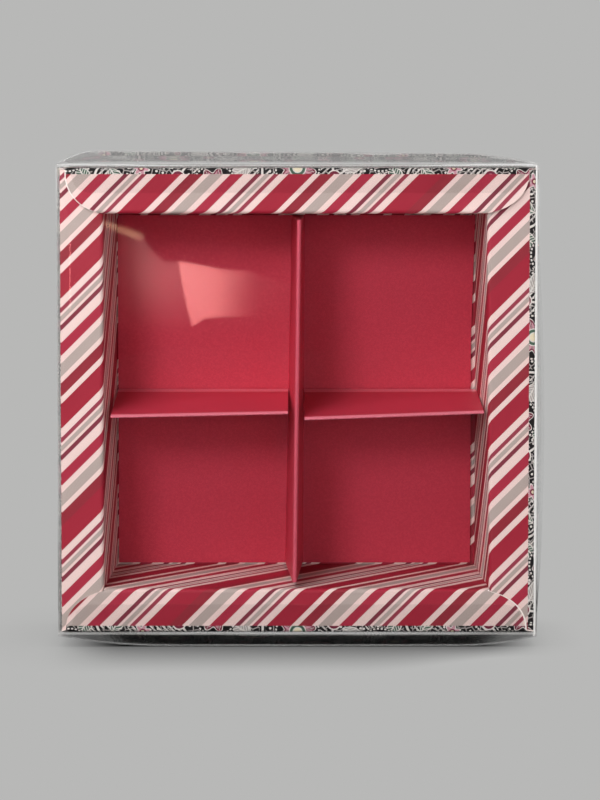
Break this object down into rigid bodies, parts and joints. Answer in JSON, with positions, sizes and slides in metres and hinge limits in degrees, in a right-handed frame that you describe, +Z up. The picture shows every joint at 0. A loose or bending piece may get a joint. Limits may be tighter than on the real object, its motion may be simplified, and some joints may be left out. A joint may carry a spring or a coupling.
{
  "type": "sweet box",
  "caption": "Upright mithai sweet box: striped card tray with a red card insert of cells, in a clear folded case with tuck closures and dust flaps.",
  "frame": {"origin": "middle of the flat foot under the bottom closure, where the box stands", "axes": "+Z up the standing box, +X to the right seen from the open face, +Y from the open face to the back"},
  "size_m": [0.166, 0.0498, 0.1678],
  "materials": {
    "art_print": "printed, semi-gloss",
    "stripe_print": "printed stripes, satin",
    "grey_board": "uncoated",
    "red_card": "satin metallic",
    "clear_sheet": "clear, glossy"
  },
  "bodies": {
    "case_and_tray": {"tray_top_wall": "art_print", "tray_bottom_wall": "art_print", "tray_left_wall": "art_print", "tray_right_wall": "art_print", "rim_flap_top": "stripe_print", "rim_flap_bottom": "stripe_print", "rim_flange_left": "stripe_print", "rim_flange_right": "stripe_print", "inner_wall_top": "stripe_print", "inner_wall_bottom": "stripe_print", "inner_wall_left": "stripe_print", "inner_wall_right": "stripe_print", "tray_floor": "grey_board", "floor_tab_top": "grey_board", "floor_tab_bottom": "grey_board", "floor_tab_left": "grey_board", "floor_tab_right": "grey_board", "insert_base_left": "red_card", "insert_base_right": "red_card", "insert_ridge": "red_card", "divider_foot_left": "red_card", "divider_foot_right": "red_card", "cover_front": "clear_sheet", "cover_left": "clear_sheet", "cover_back": "clear_sheet", "cover_right": "clear_sheet", "cover_glue_seam": "clear_sheet"},
    "divider_left": {"divider_left": "red_card"},
    "divider_right": {"divider_right": "red_card"},
    "top_closure": {"top_closure": "clear_sheet"},
    "top_tuck_flap": {"top_tuck_flap": "clear_sheet"},
    "top_dust_flap_left": {"top_dust_flap_left": "clear_sheet"},
    "top_dust_flap_right": {"top_dust_flap_right": "clear_sheet"},
    "bottom_closure": {"bottom_closure": "clear_sheet"},
    "bottom_tuck_flap": {"bottom_tuck_flap": "clear_sheet"},
    "bottom_dust_flap_left": {"bottom_dust_flap_left": "clear_sheet"},
    "bottom_dust_flap_right": {"bottom_dust_flap_right": "clear_sheet"}
  },
  "joints": [
    {"name": "divider_left_crease", "type": "hinge", "parent": "case_and_tray", "child": "divider_left", "pos_m": [-0.03318, 0.02205, 0.0831], "axis": [1, 0, 0], "range_deg": [-80, 80]},
    {"name": "divider_right_crease", "type": "hinge", "parent": "case_and_tray", "child": "divider_right", "pos_m": [0.03203, 0.02205, 0.0831], "axis": [1, 0, 0], "range_deg": [-80, 80]},
    {"name": "top_closure_crease", "type": "hinge", "parent": "case_and_tray", "child": "top_closure", "pos_m": [0, 0.02495, 0.163], "axis": [-1, 0, 0], "range_deg": [0, 165]},
    {"name": "top_tuck_crease", "type": "hinge", "parent": "top_closure", "child": "top_tuck_flap", "pos_m": [0, -0.02285, 0.1674], "axis": [-1, 0, 0], "range_deg": [0, 17]},
    {"name": "top_dust_left_crease", "type": "hinge", "parent": "case_and_tray", "child": "top_dust_flap_left", "pos_m": [-0.0809, 0, 0.1624], "axis": [0, -1, 0], "range_deg": [0, 83]},
    {"name": "top_dust_right_crease", "type": "hinge", "parent": "case_and_tray", "child": "top_dust_flap_right", "pos_m": [0.0809, 0, 0.1624], "axis": [0, 1, 0], "range_deg": [0, 83]},
    {"name": "bottom_closure_crease", "type": "hinge", "parent": "case_and_tray", "child": "bottom_closure", "pos_m": [0, 0.02495, 0.0037], "axis": [1, 0, 0], "range_deg": [0, 165]},
    {"name": "bottom_tuck_crease", "type": "hinge", "parent": "bottom_closure", "child": "bottom_tuck_flap", "pos_m": [0, -0.02285, 0.0003], "axis": [1, 0, 0], "range_deg": [0, 17]},
    {"name": "bottom_dust_left_crease", "type": "hinge", "parent": "case_and_tray", "child": "bottom_dust_flap_left", "pos_m": [-0.0809, 0, 0.0043], "axis": [0, 1, 0], "range_deg": [0, 83]},
    {"name": "bottom_dust_right_crease", "type": "hinge", "parent": "case_and_tray", "child": "bottom_dust_flap_right", "pos_m": [0.0809, 0, 0.0043], "axis": [0, -1, 0], "range_deg": [0, 83]}
  ],
  "couplings": [
    {"joint": "top_tuck_crease", "follows": "top_closure_crease", "ratio": 0.1},
    {"joint": "top_dust_left_crease", "follows": "top_closure_crease", "ratio": 0.5},
    {"joint": "top_dust_right_crease", "follows": "top_closure_crease", "ratio": 0.5},
    {"joint": "bottom_tuck_crease", "follows": "bottom_closure_crease", "ratio": 0.1},
    {"joint": "bottom_dust_left_crease", "follows": "bottom_closure_crease", "ratio": 0.5},
    {"joint": "bottom_dust_right_crease", "follows": "bottom_closure_crease", "ratio": 0.5}
  ]
}
